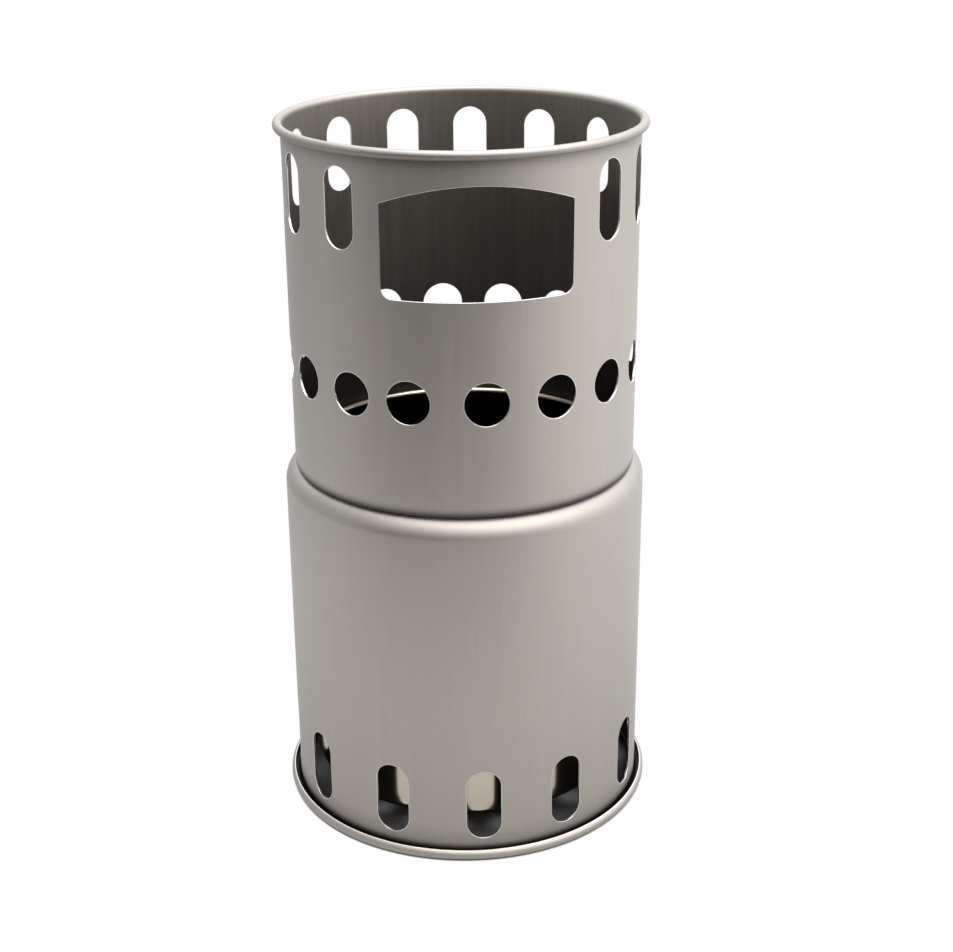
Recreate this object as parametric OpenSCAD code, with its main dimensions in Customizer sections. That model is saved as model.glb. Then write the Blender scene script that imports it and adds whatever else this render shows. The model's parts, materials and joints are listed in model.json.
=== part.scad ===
// Three-piece titanium wood stove: a base shell, a hanging firebox and a pot stand on top.
// Millimetres, +Z up, origin on the table under the middle of the base, fuel window towards -Y.

/* [Sheet and fits] */
// Thickness of the sheet that all three pieces are drawn from
sheet_t = 0.5; // [0.4:0.05:0.6]
// Angle that the sheet is rolled through at an open edge
curl_turn = 250; // [200:5:260]
// Play between the firebox wall and the mouth of the base, to each side
mouth_play = 0.3; // [0.2:0.05:0.6]
// Play between the firebox lip and the inside of the pot stand, to each side
lip_play = 0.6; // [0.5:0.05:0.9]
// Air left under a lip or an edge where it seats on the base
seat_play = 0.1; // [0.05:0.05:0.3]

/* [Base shell] */
// Outer diameter of the base wall
base_d = 90.2; // [80:0.2:120]
// Height from the table to the top of the shoulder
base_h = 89.9; // [75:0.1:130]
// Outer radius of the rounded shoulder
shoulder_r = 4.8; // [4:0.1:5]
// Diameter of the bead curled outwards round the foot
foot_bead_d = 2.9; // [2.4:0.1:3.6]
// Depth of the flat that the foot bead is pressed to underneath
foot_flat = 0.08; // [0.04:0.01:0.12]

/* [Air slots] */
// Width of each air slot
slot_w = 8.5; // [6:0.1:10]
// Height of each air slot over its round ends
slot_h = 18.6; // [14:0.1:24]
// Distance from an open edge to the nearer end of its slots
slot_edge = 5.2; // [4:0.1:8]
// Number of slots round the base
base_slot_n = 12; // [6:1:16]
// Angle that the base is turned under the pot stand
base_turn = -0.7; // [-15:0.1:15]

/* [Pot stand] */
// Height of the pot stand
stand_h = 85.3; // [75:0.1:120]
// Step from the base wall in to the pot stand wall
stand_step = 2.6; // [2:0.1:3]
// Diameter of the bead rolled outwards round the top rim
rim_bead_d = 2.25; // [1.8:0.05:3]
// Depth of the flat that a pot rests on along the rim
rim_flat = 0.06; // [0.03:0.01:0.1]
// Outer radius of the turned-in lower edge
hem_r = 1.2; // [0.8:0.1:1.6]
// Angle that the lower edge is turned in
hem_turn = 60; // [30:5:65]
// Number of slots under the rim
stand_slot_n = 12; // [6:1:14]
// Angle between the two slots on either side of the window
slot_free_angle = 90.75; // [85:0.25:120]
// Angle that the slots and holes are turned from the middle of the window
pattern_turn = 2.4; // [-4:0.1:4]
// Share of the real stove's uneven punching that is kept, 0 for even spacing
punch_scatter = 1; // [0:0.25:1]

/* [Fuel window] */
// Width of the window across its straight sides
window_w = 43; // [34:0.5:46]
// Height of the window from its sill to the top of its arch
window_h = 25.65; // [18:0.05:32]
// Radius of the arched top edge
window_arch_r = 56; // [40:1:90]
// Radius of the two lower corners
window_corner_r = 2.4; // [1:0.1:5]
// Distance from the top of the rim to the top of the arch
window_drop = 7.9; // [6:0.1:12]

/* [Round holes] */
// Diameter of the round holes in the pot stand
hole_d = 10.4; // [6:0.1:13]
// Number of round holes in the row
hole_n = 16; // [8:1:18]
// Height of the row above the lower edge of the pot stand
hole_rise = 27.9; // [18:0.1:32]

/* [Firebox] */
// Width of the firebox lip, which is turned over and down
lip_w = 2.2; // [1.8:0.05:2.6]
// Height of the firebox lip from its lower edge to its top
lip_h = 4; // [3:0.1:6]
// Outer radius of the bottom corner
corner_r = 2; // [1.2:0.1:4]
// Air space between the table and the firebox floor
floor_lift = 7.9; // [5:0.1:14]
// Diameter of the holes in the floor
grate_hole_d = 6; // [3:0.1:7]
// Distance from one ring of floor holes to the next
grate_pitch = 10; // [9:0.1:10.5]
// Number of rings of floor holes round the middle one
grate_rings = 3; // [1:1:3]
// Diameter of the air jets under the lip
jet_d = 4.5; // [2:0.1:6]
// Number of air jets
jet_n = 24; // [12:1:28]
// Distance from the top of the lip to the middle of the jets
jet_drop = 13.8; // [10:0.1:20]

/* [Hidden] */
$fn = 96;

// One overrun serves every cut
over = 1;
// A pie cutter reaches this many times its arc's radius
pie_share = 2;
// Widest angle between two corners of a pie cutter
pie_step = 50;
// Holes in the first ring of the grate, and added by each ring after it
ring_holes = 6;
// Angles that the base slots are punched off their even places, from the one at the front towards +X
base_off = [0.7, -1.4, 0, 0, 0, 0, 0, 0, 0, 0, 0, 1.2];
// Angles that the slots under the rim are punched off their even places, from the window towards +X
slot_off = [-1, -0.8, 0, -1, 0.6, 1.7, 1.4, 3.2, 4.3, 0.2, -3.7, -2.4];
// Angles that the round holes are punched off their even places, from the middle one towards +X
hole_off = [-0.4, 0.2, 0, 0, 0, 0, 0, 0, 0, 0, 0, 0, 0, 0, -0.2, -2.4];

// Radii, from the base wall inwards
base_r = base_d / 2;
stand_r = base_r - stand_step;
lip_r = stand_r - sheet_t - lip_play;
fire_r = lip_r - lip_w + sheet_t;
mouth_r = fire_r + mouth_play;

// Heights, from the table up
shoulder_c_r = base_r - shoulder_r;
shoulder_c_z = base_h - shoulder_r;
hem_end_r = stand_r - hem_r * (1 - cos(hem_turn));
hem_seat_z = shoulder_c_z + sqrt(pow(shoulder_r, 2) - pow(hem_end_r - shoulder_c_r, 2));
stand_z = hem_seat_z + seat_play;
stand_top = stand_z + stand_h;
lip_reach = max(0, lip_r - sheet_t - shoulder_c_r);
lip_z = shoulder_c_z + sqrt(pow(shoulder_r, 2) - pow(lip_reach, 2)) + seat_play;
lip_top = lip_z + lip_h;
hole_z = stand_z + hole_rise;
window_top = stand_top - window_drop;
jet_z = lip_top - jet_drop;

titanium = [0.56, 0.54, 0.51];
titanium_dark = [0.42, 0.40, 0.38];

// Angle that punch i stands off its even place, from a list of such angles
function scatter(offs, i) = punch_scatter * offs[i % len(offs)];

// Wedge from angle a to angle b, for cutting an arc out of a ring
module pie(r, a, b) {
    steps = ceil((b - a) / pie_step);
    rim = [for (i = [0 : steps]) let (t = a + (b - a) * i / steps) [r * cos(t), r * sin(t)]];
    polygon(concat([[0, 0]], rim));
}

// Strip of sheet bent round a centre, with outer radius r, from angle a to angle b
module bend(r, a, b) {
    intersection() {
        difference() {
            circle(r = r);
            circle(r = r - sheet_t);
        }
        pie(r * pie_share, a, b);
    }
}

// Open edge rolled outwards and over the top, its wall's inner face at x = 0 and its top at y = 0
module rolled_edge(bead_d, flat) {
    bead_r = bead_d / 2;
    intersection() {
        translate([bead_r, flat - bead_r])
            bend(bead_r, 180 - curl_turn, 180);
        translate([0, -bead_d])
            square([bead_d, bead_d]);
    }
}

// Upright strip of wall, its inner face at radius r, from height low to height high
module wall_strip(r, low, high) {
    translate([r, low])
        square([sheet_t, high - low]);
}

// Punch that faces -Y, turned by an angle towards +X, cutting the outline drawn at height z through
// a wall of outer radius wall_r; it starts just inside the wall at the outline's half width
module punch(angle, z, wall_r, half_w) {
    start = sqrt(pow(wall_r - sheet_t, 2) - pow(half_w, 2)) - over;
    rotate([0, 0, angle])
        translate([0, -start, z])
            rotate([90, 0, 0])
                linear_extrude(height = wall_r + over - start)
                    children();
}

// Upright slot with round ends, its lower end at y = 0
module slot_outline() {
    end_r = slot_w / 2;
    translate([0, end_r])
        circle(r = end_r);
    translate([0, slot_h - end_r])
        circle(r = end_r);
    translate([-end_r, end_r])
        square([slot_w, slot_h - slot_w]);
}

// Window with rounded lower corners and an arched top, the top of the arch at y = 0
module window_outline() {
    half_w = window_w / 2;
    sill = -window_h;
    intersection() {
        translate([0, -window_arch_r])
            circle(r = window_arch_r);
        union() {
            translate([-half_w, sill + window_corner_r])
                square([window_w, window_h]);
            translate([window_corner_r - half_w, sill])
                square([window_w - 2 * window_corner_r, window_h]);
            for (side = [-1, 1])
                translate([side * (half_w - window_corner_r), sill + window_corner_r])
                    circle(r = window_corner_r);
        }
    }
}

// Section of the base: foot bead, wall, shoulder and the rim of its mouth
module base_section() {
    wall_in = base_r - sheet_t;
    foot_c_z = foot_bead_d / 2 - foot_flat;
    difference() {
        union() {
            translate([wall_in, 0])
                mirror([0, 1])
                    rolled_edge(foot_bead_d, foot_flat);
            wall_strip(wall_in, foot_c_z, shoulder_c_z);
            translate([shoulder_c_r, shoulder_c_z])
                bend(shoulder_r, 0, 90);
            translate([0, base_h - sheet_t])
                square([shoulder_c_r, sheet_t]);
        }
        translate([-over, -over])
            square([mouth_r + over, base_h + 2 * over]);
    }
}

// Base shell with its ring of air slots at the foot
module base_shell() {
    color(titanium)
        difference() {
            rotate_extrude()
                base_section();
            for (i = [0 : base_slot_n - 1])
                punch(base_turn + i * 360 / base_slot_n + scatter(base_off, i), slot_edge, base_r, slot_w / 2)
                    slot_outline();
        }
}

// Section of the firebox: floor, bottom corner, wall and the lip that is turned over and down
module fire_section() {
    wall_in = fire_r - sheet_t;
    corner_c_r = fire_r - corner_r;
    corner_c_z = floor_lift + corner_r;
    lip_c_z = lip_top - lip_w / 2;
    translate([0, floor_lift])
        square([corner_c_r, sheet_t]);
    translate([corner_c_r, corner_c_z])
        bend(corner_r, -90, 0);
    wall_strip(wall_in, corner_c_z, lip_c_z);
    translate([wall_in + lip_w / 2, lip_c_z])
        bend(lip_w / 2, 0, 180);
    wall_strip(lip_r - sheet_t, lip_z, lip_c_z);
}

// Holes of the grate: one in the middle and full rings round it
module grate_holes() {
    depth = sheet_t + 2 * over;
    translate([0, 0, floor_lift - over]) {
        cylinder(d = grate_hole_d, h = depth);
        for (ring = [1 : grate_rings])
            for (i = [0 : ring * ring_holes - 1])
                rotate([0, 0, i * 360 / (ring * ring_holes)])
                    translate([ring * grate_pitch, 0, 0])
                        cylinder(d = grate_hole_d, h = depth);
    }
}

// Firebox with its perforated floor and its row of air jets
module firebox() {
    color(titanium_dark)
        difference() {
            rotate_extrude()
                fire_section();
            grate_holes();
            for (i = [0 : jet_n - 1])
                punch(i * 360 / jet_n, jet_z, fire_r, jet_d / 2)
                    circle(d = jet_d);
        }
}

// Section of the pot stand: turned-in lower edge, wall and rolled rim
module stand_section() {
    wall_in = stand_r - sheet_t;
    hem_c_z = stand_z + hem_r * sin(hem_turn);
    translate([stand_r - hem_r, hem_c_z])
        bend(hem_r, -hem_turn, 0);
    wall_strip(wall_in, hem_c_z, stand_top - rim_bead_d / 2 + rim_flat);
    translate([wall_in, stand_top])
        rolled_edge(rim_bead_d, rim_flat);
}

// Pot stand with its slots, its fuel window and its row of round holes
module pot_stand() {
    slot_step = (360 - slot_free_angle) / (stand_slot_n - 1);
    first_slot = pattern_turn + slot_free_angle / 2;
    slot_z = stand_top - slot_edge - slot_h;
    color(titanium)
        difference() {
            rotate_extrude()
                stand_section();
            for (i = [0 : stand_slot_n - 1])
                punch(first_slot + i * slot_step + scatter(slot_off, i), slot_z, stand_r, slot_w / 2)
                    slot_outline();
            for (i = [0 : hole_n - 1])
                punch(pattern_turn + i * 360 / hole_n + scatter(hole_off, i), hole_z, stand_r, hole_d / 2)
                    circle(d = hole_d);
            punch(0, window_top, stand_r, window_w / 2)
                window_outline();
        }
}

base_shell();
firebox();
pot_stand();
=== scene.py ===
"""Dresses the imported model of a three-piece titanium wood stove.

The stove's base shell, firebox and pot stand are each drawn from one titanium sheet. Each is developed
here as a flat sheet with its slots, holes and window punched out. A Geometry Nodes tree repeats that flat
sheet round the axis and bends it along the section of the piece, as the press does with the real one.
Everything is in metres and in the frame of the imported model: +Z up, the fuel window towards -Y.
"""

import json
import logging
import math
from collections.abc import Sequence
from dataclasses import dataclass
from enum import Enum
from typing import NamedTuple, Self

import bmesh
import bpy
from mathutils import Matrix, Vector

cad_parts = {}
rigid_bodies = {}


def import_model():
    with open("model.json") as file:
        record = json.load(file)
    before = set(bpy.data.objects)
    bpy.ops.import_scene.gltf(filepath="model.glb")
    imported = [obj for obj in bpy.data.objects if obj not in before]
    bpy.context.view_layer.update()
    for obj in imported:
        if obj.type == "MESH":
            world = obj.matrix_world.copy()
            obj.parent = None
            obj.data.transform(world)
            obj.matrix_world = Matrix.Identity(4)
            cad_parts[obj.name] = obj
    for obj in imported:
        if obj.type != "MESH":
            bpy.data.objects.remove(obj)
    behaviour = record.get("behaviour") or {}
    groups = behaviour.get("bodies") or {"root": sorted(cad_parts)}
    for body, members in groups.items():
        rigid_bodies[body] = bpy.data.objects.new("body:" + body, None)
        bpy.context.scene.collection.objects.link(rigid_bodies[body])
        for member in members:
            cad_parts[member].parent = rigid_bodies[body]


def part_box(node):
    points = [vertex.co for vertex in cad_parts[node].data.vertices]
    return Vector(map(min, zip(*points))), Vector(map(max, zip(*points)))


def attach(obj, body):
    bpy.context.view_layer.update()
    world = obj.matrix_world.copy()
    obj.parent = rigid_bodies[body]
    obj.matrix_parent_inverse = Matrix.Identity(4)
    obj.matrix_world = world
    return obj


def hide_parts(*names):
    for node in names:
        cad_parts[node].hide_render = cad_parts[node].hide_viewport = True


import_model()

LOG = logging.getLogger("stove")
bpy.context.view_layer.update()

MM = 0.001
FULL_TURN = 2 * math.pi
QUARTER = math.pi / 2
COLUMN = math.radians(1.25)  # width of a column of faces
WELD = 0.002 * MM  # points that are nearer to each other are one
FADE = 0.5 * MM  # run over which the finish of one skin goes over to that of the other
ROUNDING = 1e-6  # slack for a quotient that should be a whole number

FACING = "facing"
RIM = "rim"
SKIN = "skin"
SHEET_MAP = "sheet"

Stops = Sequence[tuple[float, float]]
Span = tuple[float, float]
Colour = tuple[float, float, float]
Socket = bpy.types.NodeSocket

WHITE = (1.0, 1.0, 1.0)


def stand(name: str, data: bpy.types.ID) -> bpy.types.Object:
    """Makes an object of some data and puts it in the scene.

    Args:
        name: name of the object
        data: its mesh, camera or lamp

    Returns:
        The new object.
    """
    made = bpy.data.objects.new(name, data)
    bpy.context.scene.collection.objects.link(made)
    return made


class Turn(Enum):
    """Way that a section bends for a walker who has the facing skin on the right hand."""

    LEFT = 1
    RIGHT = -1


class End(Enum):
    """Which end of a section a cut edge of the sheet lies at."""

    START = 1
    FINISH = -1


class Station(NamedTuple):
    """Point of a section on its facing skin, the way that the skin faces there, and the run up to it."""

    radius: float
    height: float
    facing_r: float
    facing_z: float
    run: float


class Cut(NamedTuple):
    """Point of a punched outline and the shift that takes it one unit further into the metal."""

    x: float
    y: float
    out_x: float
    out_y: float


@dataclass(frozen=True)
class Sheet:
    """The sheet that all three pieces are made of.

    Attributes:
        thickness: thickness of the sheet
        edge: how far a cut edge is rounded over
        hold: distance from a cut to the first plain ring of faces
        bend_step: widest angle between two stations of a bend
    """

    thickness: float = 0.5 * MM
    edge: float = 0.07 * MM
    hold: float = 0.22 * MM
    bend_step: float = math.radians(10)

    def rim_profile(self) -> list[tuple[float, float]]:
        """Section of a cut edge.

        Returns:
            Pairs of distance into the metal and depth, from the facing skin to the back one.
        """
        round_share = 1 - math.sqrt(0.5)
        inner = self.edge * round_share
        near = [(self.edge, 0.0), (inner, inner), (0.0, self.edge)]
        far = [(offset, self.thickness - depth) for offset, depth in reversed(near)]
        return near + far


class SheetSection:
    """Section of a sheet, walked along its facing skin with that skin on the right hand."""

    def __init__(self, radius: float, height: float, heading: float) -> None:
        """Sets the walker down.

        Args:
            radius: distance of the first station from the axis
            height: height of the first station
            heading: way that the walk starts, 0 away from the axis and a quarter turn up
        """
        self.radius = radius
        self.height = height
        self.heading = heading
        self.stations: list[Station] = []
        self.marks: list[float] = []
        self._stand()

    @property
    def run(self) -> float:
        """Length walked so far."""
        return self.stations[-1].run if self.stations else 0.0

    def _stand(self) -> None:
        """Adds a station where the walker stands."""
        run = 0.0
        if self.stations:
            last = self.stations[-1]
            run = last.run + math.hypot(self.radius - last.radius, self.height - last.height)
        facing_r, facing_z = math.sin(self.heading), -math.cos(self.heading)
        self.stations.append(Station(self.radius, self.height, facing_r, facing_z, run))

    def straight(self, length: float) -> Self:
        """Walks straight on.

        Args:
            length: distance to walk

        Returns:
            The section itself.
        """
        self.radius += length * math.cos(self.heading)
        self.height += length * math.sin(self.heading)
        self._stand()
        self.marks.append(self.run)
        return self

    def bend(self, radius: float, angle: float, turn: Turn, step: float) -> Self:
        """Walks round a bend.

        Args:
            radius: radius of the facing skin
            angle: angle to turn through, in radians
            turn: which way to turn
            step: widest angle between two stations

        Returns:
            The section itself.
        """
        steps = math.ceil(angle / step - ROUNDING)
        centre_r = self.radius - turn.value * radius * math.sin(self.heading)
        centre_z = self.height + turn.value * radius * math.cos(self.heading)
        for _ in range(steps):
            self.heading += turn.value * angle / steps
            self.radius = centre_r + turn.value * radius * math.sin(self.heading)
            self.height = centre_z - turn.value * radius * math.cos(self.heading)
            self._stand()
        self.marks.append(self.run)
        return self

    def runs_between(self, low: float, high: float) -> list[float]:
        """Runs of the stations strictly between two runs."""
        return [s.run for s in self.stations if low + WELD < s.run < high - WELD]

    def run_at(self, height: float, mark: int) -> float:
        """Run of a height on the upright straight that starts at a mark.

        Args:
            height: height on the straight
            mark: number of the mark

        Returns:
            The run.
        """
        start = next(s for s in self.stations if s.run >= self.marks[mark])
        return start.run + height - start.height

    def build_line(self, name: str) -> bpy.types.Object:
        """Makes the section a line of edges in the XZ plane that a tree can follow.

        Args:
            name: name of the helper object

        Returns:
            An object whose points carry the way that the skin faces.
        """
        mesh = bpy.data.meshes.new(name)
        points = [(s.radius, 0.0, s.height) for s in self.stations]
        mesh.from_pydata(points, [(i, i + 1) for i in range(len(points) - 1)], [])
        facing = mesh.attributes.new(FACING, "FLOAT_VECTOR", "POINT")
        for item, station in zip(facing.data, self.stations):
            item.vector = (station.facing_r, 0.0, station.facing_z)
        return stand(name, mesh)


@dataclass(frozen=True)
class Arc:
    """Stretch of an outline on a circle, walked against the clock round the opening.

    Attributes:
        centre: middle of the circle
        radius: radius of the circle
        start: angle that it starts at, in degrees
        end: angle that it ends at, in degrees
    """

    centre: tuple[float, float]
    radius: float
    start: float
    end: float

    def sample(self, share: float) -> Cut:
        """Point at a share of the way along."""
        angle = math.radians(self.start + (self.end - self.start) * share)
        out_x, out_y = math.cos(angle), math.sin(angle)
        x = self.centre[0] + self.radius * out_x
        y = self.centre[1] + self.radius * out_y
        return Cut(x, y, out_x, out_y)


@dataclass(frozen=True)
class Line:
    """Straight stretch of an outline, walked with the metal on the right hand."""

    start: tuple[float, float]
    end: tuple[float, float]

    def sample(self, share: float) -> Cut:
        """Point at a share of the way along."""
        dx, dy = self.end[0] - self.start[0], self.end[1] - self.start[1]
        length = math.hypot(dx, dy)
        x, y = self.start[0] + dx * share, self.start[1] + dy * share
        return Cut(x, y, dy / length, -dx / length)


class Stretch(NamedTuple):
    """Stretch of an outline and the number of faces along it."""

    shape: Arc | Line
    faces: int


class Outline:
    """Punched outline, walked against the clock from its lower left in four sides."""

    def stretches(self, across: int, up: int) -> list[Stretch]:
        """Stretches of the outline.

        Args:
            across: number of faces along the lower side, and along the upper one
            up: number of faces along each upright side

        Returns:
            The stretches in their order, with the number of faces along each.
        """
        raise NotImplementedError

    def loop(self, across: int, up: int) -> list[Cut]:
        """Points of the whole outline, with sharp corners mitred.

        Args:
            across: number of faces along the lower side, and along the upper one
            up: number of faces along each upright side

        Returns:
            One point for each face, each at the start of its face.
        """
        stretches = [s for s in self.stretches(across, up) if s.faces]
        cuts = []
        for index, (shape, faces) in enumerate(stretches):
            before = stretches[index - 1].shape.sample(1.0)
            first = shape.sample(0.0)
            meet = 1 + before.out_x * first.out_x + before.out_y * first.out_y
            out_x = (before.out_x + first.out_x) / meet
            out_y = (before.out_y + first.out_y) / meet
            cuts.append(Cut(first.x, first.y, out_x, out_y))
            cuts += [shape.sample(i / faces) for i in range(1, faces)]
        return cuts


@dataclass(frozen=True)
class RoundEnded(Outline):
    """Upright slot with round ends, or a round hole where its height is its width.

    Attributes:
        width: width of the slot
        height: height of the slot over its ends
    """

    width: float
    height: float

    def stretches(self, across: int, up: int) -> list[Stretch]:
        """Stretches of the slot; the docstring of Outline says what the arguments are."""
        radius = self.width / 2
        reach = (self.height - self.width) / 2
        low, high = (0.0, -reach), (0.0, reach)
        ends = max(across // 2, 1) if reach > WELD else up // 2
        middle = up - 2 * ends
        return [
            Stretch(Arc(low, radius, 225, 315), across),
            Stretch(Arc(low, radius, 315, 360), ends),
            Stretch(Line((radius, -reach), (radius, reach)), middle),
            Stretch(Arc(high, radius, 0, 45), ends),
            Stretch(Arc(high, radius, 45, 135), across),
            Stretch(Arc(high, radius, 135, 180), ends),
            Stretch(Line((-radius, reach), (-radius, -reach)), middle),
            Stretch(Arc(low, radius, 180, 225), ends),
        ]


@dataclass(frozen=True)
class ArchedWindow(Outline):
    """Window with an arched top, sharp upper corners and rounded lower ones, its origin at the arch's top.

    Attributes:
        width: width across the straight sides
        height: height from the sill to the top of the arch
        arch: radius of the arch
        corner: radius of the lower corners
        corner_faces: number of faces along half of a lower corner
    """

    width: float
    height: float
    arch: float
    corner: float
    corner_faces: int = 4

    def stretches(self, across: int, up: int) -> list[Stretch]:
        """Stretches of the window; the docstring of Outline says what the arguments are."""
        half = self.width / 2
        sill = -self.height
        spring = math.sqrt(self.arch**2 - half**2) - self.arch
        lean = math.degrees(math.asin(half / self.arch))
        left = (self.corner - half, sill + self.corner)
        right = (half - self.corner, sill + self.corner)
        corner = self.corner_faces
        return [
            Stretch(Arc(left, self.corner, 225, 270), corner),
            Stretch(Line((left[0], sill), (right[0], sill)), across - 2 * corner),
            Stretch(Arc(right, self.corner, 270, 315), corner),
            Stretch(Arc(right, self.corner, 315, 360), corner),
            Stretch(Line((half, right[1]), (half, spring)), up - corner),
            Stretch(Arc((0.0, -self.arch), self.arch, 90 - lean, 90 + lean), across),
            Stretch(Line((-half, spring), (-half, left[1])), up - corner),
            Stretch(Arc(left, self.corner, 180, 225), corner),
        ]


@dataclass(frozen=True)
class WallPunch:
    """Punch that goes straight through a round wall.

    Attributes:
        angle: angle round the axis that the punch stands at
        run: run of the outline's origin
        radius: radius of the wall's facing skin
    """

    angle: float
    run: float
    radius: float

    def place(self, x: float, y: float, depth: float) -> tuple[float, float]:
        """Angle and run of a point of the outline at a depth in the wall."""
        return self.angle + math.asin(x / (self.radius - depth)), self.run + y


@dataclass(frozen=True)
class FloorPunch:
    """Punch that goes straight through a flat floor.

    Attributes:
        angle: angle round the axis that the punch stands at
        radius: distance of the outline's origin from the axis
        start: radius that the floor's run is counted from
    """

    angle: float
    radius: float
    start: float

    def place(self, x: float, y: float, depth: float) -> tuple[float, float]:
        """Angle and run of a point of the outline, the same at every depth."""
        away = self.radius + y
        return self.angle + math.atan2(x, away), math.hypot(x, away) - self.start


class Blank:
    """Flat panel of punched sheet, whose points are an angle, a run and a depth into the sheet.

    Attributes:
        layer_shares: where the rings of faces round an opening end, as shares of the way to the cell's border
    """

    layer_shares = (0.10, 0.28, 0.60, 1.0)

    def __init__(self, sheet: Sheet) -> None:
        """Starts an empty panel of a sheet."""
        self.sheet = sheet
        self.points: list[tuple[float, float, float]] = []
        self.rims: list[float] = []
        self.faces: list[tuple[int, ...]] = []

    def _ring(self, places: Sequence[tuple[float, float]], depth: float, rim: float) -> list[int]:
        """Adds points that lie at one depth.

        Args:
            places: angle and run of each point
            depth: depth into the sheet
            rim: 1 on a cut edge, 0 on a skin

        Returns:
            The points' indices.
        """
        first = len(self.points)
        self.points += [(angle, run, depth) for angle, run in places]
        self.rims += [rim] * len(places)
        return list(range(first, len(self.points)))

    def _strip(self, one: Sequence[int], two: Sequence[int], closed: bool, flip: bool) -> None:
        """Joins two rows of points with faces.

        Args:
            one: indices of the row on the left of the walk
            two: indices of the row on its right
            closed: whether the rows are loops
            flip: whether the faces look the other way
        """
        count = len(one)
        for i in range(count if closed else count - 1):
            j = (i + 1) % count
            face = (one[i], two[i], two[j], one[j])
            self.faces.append(face[::-1] if flip else face)

    def plain(self, columns: Sequence[float], runs: Sequence[float]) -> None:
        """Adds both skins of an unpunched stretch.

        Args:
            columns: angles of its columns
            runs: runs of its rows, upwards
        """
        for depth, flip in ((0.0, False), (self.sheet.thickness, True)):
            rows = [self._ring([(a, run) for a in columns], depth, 0.0) for run in runs]
            for lower, upper in zip(rows, rows[1:]):
                self._strip(upper, lower, False, flip)

    def cut_edge(self, columns: Sequence[float], run: float, end: End) -> None:
        """Adds the rounded cut edge of the sheet and the narrow rings that hold it.

        Args:
            columns: angles of its columns
            run: run of the cut
            end: which end of the section the cut lies at
        """
        sheet = self.sheet
        flip = end is End.FINISH
        profile = [(sheet.hold, 0.0), *sheet.rim_profile(), (sheet.hold, sheet.thickness)]
        rows = []
        for index, (offset, depth) in enumerate(profile):
            rim = float(0 < index < len(profile) - 1)
            rows.append(self._ring([(a, run + end.value * offset) for a in columns], depth, rim))
        for near, far in zip(rows, rows[1:]):
            self._strip(near, far, False, flip)

    def punched(
        self,
        columns: Sequence[float],
        runs: Sequence[float],
        outline: Outline,
        punch: WallPunch | FloorPunch,
    ) -> None:
        """Adds a cell with one opening: both skins round it and its rounded rim.

        Args:
            columns: angles along the cell's lower and upper side
            runs: runs along its upright sides
            outline: outline of the opening
            punch: where the outline is punched
        """
        low, high = runs[0], runs[-1]
        left, right = columns[0], columns[-1]
        border = [(a, low) for a in columns[:-1]]
        border += [(right, run) for run in runs[:-1]]
        border += [(a, high) for a in reversed(columns[1:])]
        border += [(left, run) for run in reversed(runs[1:])]
        cuts = outline.loop(len(columns) - 1, len(runs) - 1)

        def ring_at(offset: float, depth: float) -> list[tuple[float, float]]:
            """Angle and run of the outline's points at an offset into the metal and a depth."""
            return [punch.place(c.x + offset * c.out_x, c.y + offset * c.out_y, depth) for c in cuts]

        profile = self.sheet.rim_profile()
        rim_rows = [self._ring(ring_at(offset, depth), depth, 1.0) for offset, depth in profile]
        for near, far in zip(rim_rows, rim_rows[1:]):
            self._strip(far, near, True, False)
        for depth, flip, rim_row in ((0.0, False, rim_rows[0]), (self.sheet.thickness, True, rim_rows[-1])):
            hold = ring_at(self.sheet.hold, depth)
            inner = self._ring(hold, depth, 0.0)
            self._strip(rim_row, inner, True, flip)
            for share in self.layer_shares:
                places = [
                    (a + (b - a) * share, c + (d - c) * share)
                    for (a, c), (b, d) in zip(hold, border)
                ]
                outer = self._ring(places, depth, 0.0)
                self._strip(inner, outer, True, flip)
                inner = outer

    def build(self, name: str) -> bpy.types.Object:
        """Makes the panel an object with its rim and skin attributes.

        Args:
            name: name of the helper object

        Returns:
            The helper object.
        """
        mesh = bpy.data.meshes.new(name)
        mesh.from_pydata(self.points, [], self.faces)
        rim = mesh.attributes.new(RIM, "FLOAT", "POINT")
        rim.data.foreach_set("value", self.rims)
        skin = mesh.attributes.new(SKIN, "FLOAT", "POINT")
        skin.data.foreach_set("value", [p[2] / self.sheet.thickness for p in self.points])
        return stand(name, mesh)


@dataclass(frozen=True)
class Band:
    """Closed band of a piece: copies of one flat panel side by side.

    Attributes:
        panel: the flat panel
        copies: number of copies round the axis
    """

    panel: Blank
    copies: int


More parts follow.
